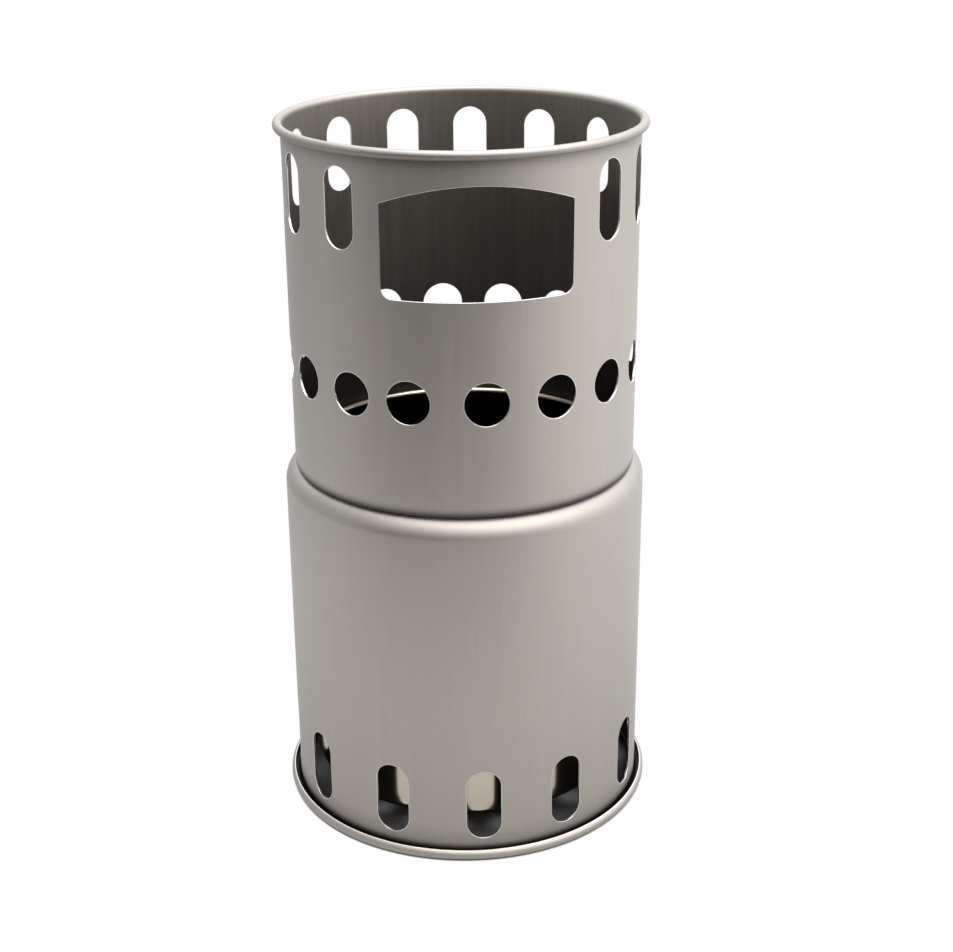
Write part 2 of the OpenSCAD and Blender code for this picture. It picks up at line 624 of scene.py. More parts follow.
class Wiring:
    """Short hand for a node tree that is built in code."""

    def __init__(self, tree: bpy.types.NodeTree) -> None:
        """Takes the tree that the nodes go into."""
        self.tree = tree

    @classmethod
    def on(cls, owner: bpy.types.ID) -> Self:
        """Starts on the emptied tree of a material or a world."""
        owner.use_nodes = True
        owner.node_tree.nodes.clear()
        return cls(owner.node_tree)

    def add(self, kind: str, inputs: dict | None = None, **settings: object) -> bpy.types.Node:
        """Adds a node.

        Args:
            kind: the node's type name
            inputs: value or output socket for each input, by name or index
            settings: the node's own properties

        Returns:
            The new node.
        """
        node = self.tree.nodes.new(kind)
        for key, value in settings.items():
            setattr(node, key, value)
        for key, value in (inputs or {}).items():
            socket = node.inputs[key]
            if isinstance(value, Socket):
                self.tree.links.new(value, socket)
            else:
                socket.default_value = value
        return node

    def value(self, kind: str, inputs: dict | None = None, **settings: object) -> Socket:
        """Adds a node, as add does, and returns its first output."""
        return self.add(kind, inputs, **settings).outputs[0]

    def calc(self, operation: str, *values: object) -> Socket:
        """Adds a Math node.

        Args:
            operation: name of the sum
            values: numbers or output sockets

        Returns:
            Its output.
        """
        return self.value("ShaderNodeMath", dict(enumerate(values)), operation=operation)

    def split(self, vector: Socket) -> bpy.types.NodeOutputs:
        """Adds a Separate XYZ node and returns its three outputs."""
        return self.add("ShaderNodeSeparateXYZ", {0: vector}).outputs

    def remap(
        self, value: Socket, given: Span, wanted: Span = (0.0, 1.0), kind: str = "LINEAR"
    ) -> Socket:
        """Adds a Map Range node.

        Args:
            value: the value
            given: lowest and highest value that come in
            wanted: what these two become
            kind: the node's interpolation

        Returns:
            The new value.
        """
        spans = {1: given[0], 2: given[1], 3: wanted[0], 4: wanted[1]}
        return self.value("ShaderNodeMapRange", {0: value, **spans}, interpolation_type=kind)

    def blend(self, share: Socket, one: object, two: object) -> Socket:
        """Adds a mix of two levels.

        Args:
            share: share of the second one
            one: first level
            two: second level

        Returns:
            The mixed level.
        """
        return self.value("ShaderNodeMix", {"Factor": share, 2: one, 3: two}, data_type="FLOAT")

    def tint(self, share: Socket, one: Socket | Colour, two: Socket | Colour) -> Socket:
        """Adds a mix of two colours.

        Args:
            share: share of the second one
            one: first colour
            two: second colour

        Returns:
            The mixed colour.
        """
        pair = [c if isinstance(c, Socket) else (*c, 1.0) for c in (one, two)]
        inputs = {"Factor": share, 6: pair[0], 7: pair[1]}
        return self.add("ShaderNodeMix", inputs, data_type="RGBA").outputs[2]

    def noise(self, place: Socket, scale: float, detail: float = 2.0) -> Socket:
        """Adds a noise.

        Args:
            place: place that it is looked up at
            scale: lumps in a unit of length
            detail: number of finer layers

        Returns:
            Its factor, around 0.5.
        """
        inputs = {"Vector": place, "Scale": scale, "Detail": detail}
        return self.add("ShaderNodeTexNoise", inputs).outputs["Fac"]

    def ramp(self, place: Socket, stops: Stops) -> Socket:
        """Adds a level that changes along a line.

        Args:
            place: place on the line
            stops: pairs of place and level, from the start of the line to its end

        Returns:
            The level at the place.
        """
        start, end = stops[0][0], stops[-1][0]
        top = max(level for _, level in stops)
        ramp = self.add("ShaderNodeValToRGB", {0: self.remap(place, (start, end))})
        band = ramp.color_ramp.elements
        band.remove(band[-1])
        for index, (position, level) in enumerate(stops):
            stop = band[0] if index == 0 else band.new((position - start) / (end - start))
            share = level / top
            stop.color = (share, share, share, 1.0)
        return self.calc("MULTIPLY", ramp.outputs[0], top)


class PressTree:
    """Geometry Nodes tree that repeats a flat panel round the axis and bends it along a section.

    Attributes:
        sockets: name and kind of each input beside the geometry
    """

    sockets = (
        ("Copies", "NodeSocketInt"),
        ("Pitch", "NodeSocketFloat"),
        ("Turn", "NodeSocketFloat"),
        ("Section", "NodeSocketObject"),
        ("Lowest", "NodeSocketFloat"),
        ("Highest", "NodeSocketFloat"),
        ("Map radius", "NodeSocketFloat"),
        ("Finish", "NodeSocketMaterial"),
    )

    def __init__(self) -> None:
        """Builds the tree."""
        self.tree = bpy.data.node_groups.new("press_sheet", "GeometryNodeTree")
        face = self.tree.interface
        face.new_socket("Geometry", in_out="INPUT", socket_type="NodeSocketGeometry")
        self.ids = {
            name: face.new_socket(name, in_out="INPUT", socket_type=kind).identifier
            for name, kind in self.sockets
        }
        face.new_socket("Geometry", in_out="OUTPUT", socket_type="NodeSocketGeometry")
        wiring = Wiring(self.tree)
        given = wiring.add("NodeGroupInput").outputs
        flat = self._repeat(wiring, given)
        pressed = self._bend(wiring, given, flat)
        real = wiring.value("GeometryNodeRealizeInstances", {0: pressed})
        dressed = wiring.value("GeometryNodeSetMaterial", {"Geometry": real, "Material": given["Finish"]})
        wiring.add("NodeGroupOutput", {0: dressed})

    def _repeat(self, wiring: Wiring, given: bpy.types.NodeOutputs) -> Socket:
        """Wires the row of flat copies and its map, in metres along the wall and up the section."""
        pitch = wiring.value("ShaderNodeCombineXYZ", {0: given["Pitch"]})
        row = wiring.value("GeometryNodeMeshLine", {"Count": given["Copies"], "Offset": pitch})
        panels = {"Points": row, "Instance": given["Geometry"]}
        copies = wiring.value("GeometryNodeInstanceOnPoints", panels)
        flat = wiring.value("GeometryNodeRealizeInstances", {0: copies})
        angle, run, _ = wiring.split(wiring.value("GeometryNodeInputPosition"))
        along = wiring.calc("MULTIPLY", angle, given["Map radius"])
        chart = wiring.value("ShaderNodeCombineXYZ", {0: along, 1: run})
        return wiring.value(
            "GeometryNodeStoreNamedAttribute",
            {"Geometry": flat, "Name": SHEET_MAP, "Value": chart},
            data_type="FLOAT2",
            domain="CORNER",
        )

    def _bend(self, wiring: Wiring, given: bpy.types.NodeOutputs, flat: Socket) -> Socket:
        """Wires the bending of the flat row along the section and round the axis."""
        angle, run, depth = wiring.split(wiring.value("GeometryNodeInputPosition"))
        line = wiring.add("GeometryNodeObjectInfo", {"Object": given["Section"]}).outputs["Geometry"]
        curve = wiring.value("GeometryNodeMeshToCurve", {0: line})
        facing = wiring.value("GeometryNodeInputNamedAttribute", {0: FACING}, data_type="FLOAT_VECTOR")
        sample = wiring.add(
            "GeometryNodeSampleCurve",
            {"Curves": curve, "Value": facing, "Length": run},
            mode="LENGTH",
            data_type="FLOAT_VECTOR",
        ).outputs
        inwards = {0: sample["Value"], "Scale": wiring.calc("MULTIPLY", depth, -1.0)}
        sunk = wiring.value("ShaderNodeVectorMath", inwards, operation="SCALE")
        point = wiring.value("ShaderNodeVectorMath", {0: sample["Position"], 1: sunk}, operation="ADD")
        radius, _, height = wiring.split(point)
        height = wiring.calc("MAXIMUM", height, given["Lowest"])
        height = wiring.calc("MINIMUM", height, given["Highest"])
        turned = wiring.calc("ADD", angle, given["Turn"])
        x = wiring.calc("MULTIPLY", radius, wiring.calc("SINE", turned))
        y = wiring.calc("MULTIPLY", radius, wiring.calc("COSINE", turned))
        target = wiring.value("ShaderNodeCombineXYZ", {0: x, 1: wiring.calc("MULTIPLY", y, -1.0), 2: height})
        bent = wiring.value("GeometryNodeSetPosition", {"Geometry": flat, "Position": target})
        welded = wiring.value("GeometryNodeMergeByDistance", {"Geometry": bent, "Distance": WELD})
        return wiring.value("GeometryNodeSetShadeSmooth", {"Geometry": welded})

    def press(self, panel: bpy.types.Object, values: dict[str, object]) -> bpy.types.Object:
        """Runs the tree on a panel.

        Args:
            panel: object of the flat panel; it is used up
            values: value of each named input

        Returns:
            A plain mesh object of the bent band.
        """
        modifier = panel.modifiers.new("press", "NODES")
        modifier.node_group = self.tree
        for name, value in values.items():
            modifier[self.ids[name]] = value
        graph = bpy.context.evaluated_depsgraph_get()
        done = panel.evaluated_get(graph)
        mesh = bpy.data.meshes.new_from_object(done, preserve_all_data_layers=True, depsgraph=graph)
        panel.modifiers.remove(modifier)
        bpy.data.objects.remove(panel)
        return stand("band", mesh)


def columns_between(first: int, last: int) -> list[float]:
    """Angles of the columns from one column number to another, both included."""
    return [index * COLUMN for index in range(first, last + 1)]


def cell_width(count: int) -> int:
    """Number of columns in a cell, where a number of cells share the turn."""
    return round(FULL_TURN / COLUMN / count)


def cell_columns(centre: int, count: int) -> list[float]:
    """Angles of the columns of a cell round a column, where a number of cells share the turn."""
    half = cell_width(count) // 2
    return columns_between(centre - half, centre + half)


def even(low: float, high: float, count: int) -> list[float]:
    """Evenly spaced values from low to high, with a number of steps between them."""
    return [low + (high - low) * index / count for index in range(count + 1)]


def stops_from(run: float, steps: Stops, way: int = 1) -> list[tuple[float, float]]:
    """Stops at distances from a run.

    Args:
        run: run that the distances are counted from
        steps: pairs of distance, in millimetres, and level
        way: 1 where the distances go up the section, -1 where they go down it

    Returns:
        Pairs of run and level.
    """
    return [(run + way * distance * MM, level) for distance, level in steps]


class PaintedShades(NamedTuple):
    """Painted shade of a piece along its section, as pairs of run and share.

    Attributes:
        facing: share of its colour that the facing skin keeps under painted shade in creases and under beads
        back: share that the back skin keeps under painted shade, above 1 where light is painted
        inside: how far the back skin is the inner one, with its darker inner colour painted as shade
    """

    facing: Stops
    back: Stops
    inside: Stops


@dataclass(frozen=True)
class SatinTitanium:
    """Satin finish of drawn titanium sheet, brushed lengthwise and tumbled at its cut edges, with painted
    shade.

    Attributes:
        name: name of the material
        colour: colour of the outer skin
        inner_shaded_colour: colour of the inner skin, darkened as painted shade
        rim_colour: colour of the cut edges
        roughness: roughness of the skins, before the brushing and the clouds add theirs
        rim_roughness: roughness of the cut edges
        streak_roughness: how much roughness the brushing adds at most
        cloud_roughness: how much roughness the clouds add at most
        streak_sizes: strokes in a metre across the brushing and along it, fine and broad
        streak_tone: how far the brushing swings the colour of the outer skin, as a share
        inside_streak_tone: how far it swings that of the inner skin
        streak_depth: height of the brushing
        inside_coarseness: how many times higher the brushing is on the inner skin
        cloud_scale: clouds in a metre
        cloud_tone: how far the clouds swing the colour, as a share
        grain_scale: grains in a metre
        grain_depth: height of the fine grain
        speck_scale: cells in a metre, each with one bright speck
        speck_reach: where a speck starts to fade and where it ends, as shares of a cell
        speck_gain: how many times brighter a speck is
    """

    name: str
    colour: Colour
    inner_shaded_colour: Colour
    rim_colour: Colour = (0.9, 0.87, 0.82)
    roughness: float = 0.42
    rim_roughness: float = 0.26
    streak_roughness: float = 0.10
    cloud_roughness: float = 0.06
    streak_sizes: tuple[tuple[float, float], ...] = ((3000.0, 90.0), (520.0, 12.0))
    streak_tone: float = 0.20
    inside_streak_tone: float = 0.7
    streak_depth: float = 0.0025 * MM
    inside_coarseness: float = 5.0
    cloud_scale: float = 38.0
    cloud_tone: float = 0.08
    grain_scale: float = 5200.0
    grain_depth: float = 0.002 * MM
    speck_scale: float = 110.0
    speck_reach: Span = (0.012, 0.03)
    speck_gain: float = 1.25

    def build(self, painted_shades: PaintedShades) -> bpy.types.Material:
        """Builds the material.

        Args:
            painted_shades: painted shade along the piece's section

        Returns:
            The new material.
        """
        material = bpy.data.materials.new(self.name)
        wiring = Wiring.on(material)
        place = wiring.add("ShaderNodeTexCoord").outputs["Object"]
        chart = wiring.value("ShaderNodeUVMap", uv_map=SHEET_MAP)
        rim, skin = (wiring.add("ShaderNodeAttribute", attribute_name=n).outputs["Fac"] for n in (RIM, SKIN))
        run = wiring.split(chart)[1]
        streaks = self._streaks(wiring, chart)
        clouds = wiring.noise(place, self.cloud_scale, detail=3.0)
        grain = wiring.noise(place, self.grain_scale)
        inside = wiring.calc("MULTIPLY", skin, wiring.ramp(run, painted_shades.inside))
        # Painted shade: each skin keeps only a share of its colour along the run, darkest in creases, under
        # beads and inside.
        painted_crease_shade = wiring.blend(skin, wiring.ramp(run, painted_shades.facing), wiring.ramp(run, painted_shades.back))
        wear = self._wear(wiring, streaks, clouds, inside)
        wear = wiring.calc("MULTIPLY", wear, self._specks(wiring, place))
        # Painted shade: the inner skin takes the darker inner colour, as little light reaches it.
        bare = wiring.tint(inside, self.colour, self.inner_shaded_colour)
        scaled = {0: bare, "Scale": wiring.calc("MULTIPLY", painted_crease_shade, wear)}
        toned = wiring.value("ShaderNodeVectorMath", scaled, operation="SCALE")
        rough = wiring.calc("MULTIPLY_ADD", streaks, self.streak_roughness, self.roughness)
        rough = wiring.calc("MULTIPLY_ADD", clouds, self.cloud_roughness, rough)
        surface = {
            "Base Color": wiring.tint(rim, toned, self.rim_colour),
            "Metallic": 1.0,
            "Roughness": wiring.blend(rim, rough, self.rim_roughness),
            "Normal": self._relief(wiring, streaks, grain, inside),
        }
        shader = wiring.value("ShaderNodeBsdfPrincipled", surface)
        wiring.add("ShaderNodeOutputMaterial", {"Surface": shader})
        return material

    def _streaks(self, wiring: Wiring, chart: Socket) -> Socket:
        """Brushing that runs up the sheet, in a fine and a broad size."""
        layers = []
        for across, along in self.streak_sizes:
            stretch = {"Vector": chart, "Scale": (across, along, 1.0)}
            layers.append(wiring.noise(wiring.value("ShaderNodeMapping", stretch), 1.0))
        return wiring.calc("MULTIPLY", wiring.calc("ADD", *layers), 1 / len(layers))

    def _wear(self, wiring: Wiring, streaks: Socket, clouds: Socket, inside: Socket) -> Socket:
        """Share of the colour that the brushing and the clouds leave."""
        more = self.inside_streak_tone - self.streak_tone
        swing = wiring.calc("MULTIPLY_ADD", inside, more, self.streak_tone)
        streak = wiring.calc("MULTIPLY_ADD", wiring.calc("SUBTRACT", streaks, 0.5), swing, 1.0)
        cloud = wiring.calc("MULTIPLY_ADD", clouds, self.cloud_tone, 1 - self.cloud_tone / 2)
        return wiring.calc("MULTIPLY", streak, cloud)

    def _specks(self, wiring: Wiring, place: Socket) -> Socket:
        """Gain of a few bright specks, 1 beside them."""
        cells = {"Vector": place, "Scale": self.speck_scale}
        away = wiring.add("ShaderNodeTexVoronoi", cells).outputs["Distance"]
        return wiring.remap(away, self.speck_reach, (self.speck_gain, 1.0))

    def _relief(self, wiring: Wiring, streaks: Socket, grain: Socket, inside: Socket) -> Socket:
        """Fine relief of brushing, which is coarser inside, and of grain."""
        coarse = wiring.calc("MULTIPLY_ADD", inside, self.inside_coarseness - 1, 1.0)
        depth = wiring.calc("MULTIPLY", coarse, self.streak_depth)
        strokes = {"Strength": 1.0, "Distance": depth, "Height": streaks}
        brushed = wiring.value("ShaderNodeBump", strokes)
        grains = {"Strength": 1.0, "Distance": self.grain_depth, "Height": grain, "Normal": brushed}
        return wiring.value("ShaderNodeBump", grains)


@dataclass
class DrawnPiece:
    """Piece that is drawn from one sheet and carried by one node of the frame.

    Attributes:
        node: the frame's node, which is also its body
        finish_slot: the record's material slot; not used
        finish: the piece's finish
        sheet: the sheet that it is made of
        row_step: height of a row of faces on a plain wall
        turn: angle that the whole piece stands turned by
        bead: width of the edge that is curled or folded out from the wall
        margin: metal above and below an opening in its cell
    """

    node: str
    finish_slot: str
    finish: SatinTitanium
    sheet: Sheet = Sheet()
    row_step: float = 5 * MM
    turn: float = 0.0
    bead: float = 0.0
    margin: float = 1.6 * MM

    @property
    def low(self) -> Vector:
        """Lowest corner of the frame's node."""
        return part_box(self.node)[0]

    @property
    def high(self) -> Vector:
        """Highest corner of the frame's node."""
        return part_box(self.node)[1]

    @property
    def wall(self) -> float:
        """Radius of the wall's outer skin."""
        return self.high.x - self.bead + self.sheet.thickness

    def section(self) -> SheetSection:
        """Section of the piece."""
        raise NotImplementedError

    def bands(self, section: SheetSection) -> list[Band]:
        """Bands of the piece along its section."""
        raise NotImplementedError

    def painted_shades(self, section: SheetSection) -> PaintedShades:
        """Painted shade along the section."""
        raise NotImplementedError

    def rows(self, section: SheetSection, low: float, high: float) -> list[float]:
        """Runs of the rows of an unpunched stretch: at each station, and spaced out on a straight.

        Args:
            section: the piece's section
            low: run that the stretch starts at
            high: run that it ends at

        Returns:
            The runs, both ends included.
        """
        stops = [low, *section.runs_between(low, high), high]
        runs = [low]
        for start, end in zip(stops, stops[1:]):
            steps = max(1, round((end - start) / self.row_step))
            runs += even(start, end, steps)[1:]
        return runs

    def plain_band(self, section: SheetSection, low: float, high: float, copies: int) -> Band:
        """Band with no openings.

        Args:
            section: the piece's section
            low: run that it starts at
            high: run that it ends at
            copies: number of panels that it is made of

        Returns:
            The band.
        """
        panel = Blank(self.sheet)
        panel.plain(columns_between(0, cell_width(copies)), self.rows(section, low, high))
        return Band(panel, copies)

    def edge_band(self, run: float, end: End, copies: int) -> Band:
        """Band that is the cut edge at one end of the section.

        Args:
            run: run of the cut
            end: which end of the section it lies at
            copies: number of panels that it is made of

        Returns:
            The band.
        """
        panel = Blank(self.sheet)
        panel.cut_edge(columns_between(0, cell_width(copies)), run, end)
        return Band(panel, copies)

    def reach(self, outline: RoundEnded) -> float:
        """Run from the middle of a row of openings to either side of its band."""
        return outline.height / 2 + self.margin

    def uneven_band(
        self, outline: RoundEnded, strays: Sequence[float], middle: float, rows: int, start: float = 0.0
    ) -> Band:
        """Band with a row of openings that were punched one by one, some off their even places.

        Args:
            outline: outline of an opening
            strays: angle that each opening is off its even place, in degrees
            middle: run of the row
            rows: rows of faces in the band
            start: angle of the first even place

        Returns:
            The band.
        """
        panel = Blank(self.sheet)
        count = len(strays)
        reach = self.reach(outline)
        runs = even(middle - reach, middle + reach, rows)
        for index, stray in enumerate(strays):
            centre = round(start / COLUMN) + index * cell_width(count)
            angle = start + index * FULL_TURN / count + math.radians(stray)
            punch = WallPunch(angle, middle, self.wall)
            panel.punched(cell_columns(centre, count), runs, outline, punch)
        return Band(panel, 1)

    def build(self, tree: PressTree) -> bpy.types.Object:
        """Builds the piece, checks that it is one closed skin and puts it on its body.

        Args:
            tree: tree that repeats and bends the panels

        Returns:
            The finished piece.
        """
        section = self.section()
        line = section.build_line(f"{self.node}_section")
        material = self.finish.build(self.painted_shades(section))
        made = []
        for index, band in enumerate(self.bands(section)):
            values = {
                "Copies": band.copies,
                "Pitch": FULL_TURN / band.copies,
                "Turn": self.turn,
                "Section": line,
                "Lowest": self.low.z,
                "Highest": self.high.z,
                "Map radius": self.high.x,
                "Finish": material,
            }
            made.append(tree.press(band.panel.build(f"{self.node}_panel_{index}"), values))
        bpy.data.objects.remove(line)
        piece = join(made, f"{self.node}_drawn")
        close_skin(piece)
        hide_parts(self.node)
        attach(piece, self.node)
        return piece


def join(objects: Sequence[bpy.types.Object], name: str) -> bpy.types.Object:
    """Joins mesh objects into one.

    Args:
        objects: the objects, which are used up
        name: name of the joined object and its mesh

    Returns:
        The joined object.
    """
    with bpy.context.temp_override(
        active_object=objects[0], selected_editable_objects=list(objects), selected_objects=list(objects)
    ):
        bpy.ops.object.join()
    objects[0].name = name
    objects[0].data.name = name
    return objects[0]


def close_skin(piece: bpy.types.Object) -> None:
    """Welds the bands of a piece and reports whether its skin is closed and faces outwards."""
    mesh = bmesh.new()
    mesh.from_mesh(piece.data)
    bmesh.ops.remove_doubles(mesh, verts=mesh.verts, dist=WELD)
    open_edges = sum(1 for edge in mesh.edges if not edge.is_manifold)
    volume = mesh.calc_volume(signed=True) / MM**3
    triangles = sum(len(face.verts) - 2 for face in mesh.faces)
    mesh.to_mesh(piece.data)
    mesh.free()
    LOG.info("%s: %d triangles, %d open edges, %.1f mm3", piece.name, triangles, open_edges, volume)


@dataclass
class BaseShell(DrawnPiece):
    """Base: a curled foot, a wall with a ring of air slots, a rounded shoulder and an open mouth.

    Attributes:
        turn: angle that the base stands turned by
        bead: diameter of the bead curled round the foot
        flat: depth of the flat that the bead is pressed to underneath
        curl: angle that the foot is curled through
        shoulder: radius of the shoulder
        lip: straight stretch from the shoulder to the edge of the mouth
        slot: outline of an air slot
        slot_rise: height from the table to the lower end of a slot
        slot_strays: angle that each slot is off its even place, in degrees, from the front
        slot_rows: rows of faces in a slot's cell
        groove_painted_shade: share of the colour that painted shade leaves in the groove over the bead, by
            height in millimetres
    """

    turn: float = math.radians(-0.7)
    bead: float = 2.9 * MM
    flat: float = 0.08 * MM
    curl: float = math.radians(250)
    shoulder: float = 4.8 * MM
    lip: float = 0.3 * MM
    slot: RoundEnded = RoundEnded(8.5 * MM, 18.6 * MM)
    slot_rise: float = 5.2 * MM
    slot_strays: tuple[float, ...] = (0.7, -1.4, 0, 0, 0, 0, 0, 0, 0, 0, 0, 1.2)
    slot_rows: int = 30
    # Painted shade in the groove over the foot's bead.
    groove_painted_shade: Stops = (
        (0.6, 0.06), (0.9, 0.22), (1.2, 0.5), (1.5, 0.75), (2.2, 0.86), (4.0, 0.88), (7.0, 1.0),
    )

    def section(self) -> SheetSection:
        """Section from the free end of the curl, up the wall and over the shoulder."""
        inner = self.bead / 2 - self.sheet.thickness
        free = self.curl - math.pi
        centre_z = self.low.z + self.bead / 2 - self.flat
        start_r = self.wall + inner * (1 + math.cos(free))
        section = SheetSection(start_r, centre_z + inner * math.sin(free), free - QUARTER)
        section.bend(inner, self.curl, Turn.RIGHT, self.sheet.bend_step)
        section.straight(self.high.z - self.shoulder - section.height)
        section.bend(self.shoulder, QUARTER, Turn.LEFT, self.sheet.bend_step / 2)
        return section.straight(self.lip)

    def painted_shades(self, section: SheetSection) -> PaintedShades:
        """Painted shade: a dark groove over the foot's bead, and a dark inside."""
        foot, mouth = section.marks[0], section.run
        # Painted shade: the curl and the groove are darkened, and the inside of the wall keeps less of its
        # colour.
        facing = [(0.0, 0.1), *stops_from(foot, self.groove_painted_shade), (mouth, 1.0)]
        back = [(0.0, 1.0), (foot, 1.0), (foot + MM, 0.45), (mouth, 0.45)]
        return PaintedShades(facing, back, [(0.0, 0.0), (foot, 0.0), (foot + FADE, 1.0), (mouth, 1.0)])

    def bands(self, section: SheetSection) -> list[Band]:
        """Curl, ring of slots, wall and shoulder."""
        hold, mouth = self.sheet.hold, section.run
        middle = section.run_at(self.low.z + self.slot_rise + self.slot.height / 2, 0)
        reach = self.reach(self.slot)
        copies = len(self.slot_strays)
        return [
            self.edge_band(0.0, End.START, copies),
            self.plain_band(section, hold, middle - reach, copies),
            self.uneven_band(self.slot, self.slot_strays, middle, self.slot_rows),
            self.plain_band(section, middle + reach, mouth - hold, copies),
            self.edge_band(mouth, End.FINISH, copies),
        ]


@dataclass
class Firebox(DrawnPiece):
    """Firebox: a punched floor, a rounded corner, a wall with air jets and a lip turned over and down.

    Attributes:
        bead: width of the lip, which is turned over and down
        lip_height: height of the lip from its lower edge to its top
        corner: radius of the bottom corner
        grate_hole: outline of a hole in the floor
        grate_pitch: distance from one ring of floor holes to the next
        grate_rings: number of rings round the middle hole
        ring_holes: holes in the first ring, and added by each ring after it
        jet: outline of an air jet
        jet_count: number of air jets
        jet_drop: distance from the top of the lip to the middle of the jets
        margin: metal above and below a jet in its cell
        hole_rows: rows of faces in the cell of a hole
    """

    bead: float = 2.2 * MM
    lip_height: float = 4 * MM
    corner: float = 2 * MM
    grate_hole: RoundEnded = RoundEnded(6 * MM, 6 * MM)
    grate_pitch: float = 10 * MM
    grate_rings: int = 3
    ring_holes: int = 6
    jet: RoundEnded = RoundEnded(4.5 * MM, 4.5 * MM)
    jet_count: int = 24
    jet_drop: float = 13.8 * MM
    margin: float = 1.4 * MM
    hole_rows: int = 12

    @property
    def middle_radius(self) -> float:
        """Radius of the hole in the middle of the floor, where the section starts."""
        return self.grate_hole.width / 2

    def section(self) -> SheetSection:
        """Section from the middle hole, along the floor, up the wall and over the lip."""
        inner = self.bead / 2 - self.sheet.thickness
        section = SheetSection(self.middle_radius, self.low.z, 0.0)
        section.straight(self.wall - self.corner - self.middle_radius)
        section.bend(self.corner, QUARTER, Turn.LEFT, self.sheet.bend_step)
        section.straight(self.high.z - self.bead / 2 - section.height)
        section.bend(inner, math.pi, Turn.RIGHT, self.sheet.bend_step)
        return section.straight(self.lip_height - self.bead / 2)

    def painted_shades(self, section: SheetSection) -> PaintedShades:
        """Painted shade: a dark inside below the lip, which keeps its colour."""
        lip, end = section.marks[2], section.run
        # Painted shade: the inside below the lip keeps less of its colour.
        back = [(0.0, 0.4), (lip - MM, 0.4), (lip, 1.0), (end, 1.0)]
        inside = [(0.0, 1.0), (lip - FADE, 1.0), (lip, 0.0), (end, 0.0)]
        return PaintedShades([(0.0, 1.0), (end, 1.0)], back, inside)

    def grate_ring(self, ring: int) -> Band:
        """Band of the floor with one ring of holes.

        Args:
            ring: number of the ring, from 1

        Returns:
            The band.
        """
        holes = ring * self.ring_holes
        radius = ring * self.grate_pitch
        low = radius - self.grate_pitch / 2 - self.middle_radius
        runs = even(low, low + self.grate_pitch, self.hole_rows)
        panel = Blank(self.sheet)
        punch = FloorPunch(QUARTER, radius, self.middle_radius)
        panel.punched(cell_columns(round(QUARTER / COLUMN), holes), runs, self.grate_hole, punch)
        return Band(panel, holes)

    def bands(self, section: SheetSection) -> list[Band]:
        """Grate, corner, wall, ring of jets and lip."""
        hold, lip = self.sheet.hold, section.run
        floor_start = self.grate_pitch / 2 - self.middle_radius
        floor_end = floor_start + self.grate_pitch * self.grate_rings
        middle = section.run_at(self.high.z - self.jet_drop, 1)
        reach = self.reach(self.jet)
        runs = even(middle - reach, middle + reach, self.hole_rows)
        jets = Blank(self.sheet)
        jets.punched(cell_columns(0, self.jet_count), runs, self.jet, WallPunch(0.0, middle, self.wall))
        return [
            self.edge_band(0.0, End.START, self.ring_holes),
            self.plain_band(section, hold, floor_start, self.ring_holes),
            *[self.grate_ring(ring) for ring in range(1, self.grate_rings + 1)],
            self.plain_band(section, floor_end, middle - reach, self.jet_count),
            Band(jets, self.jet_count),
            self.plain_band(section, middle + reach, lip - hold, self.jet_count),
            self.edge_band(lip, End.FINISH, self.jet_count),
        ]


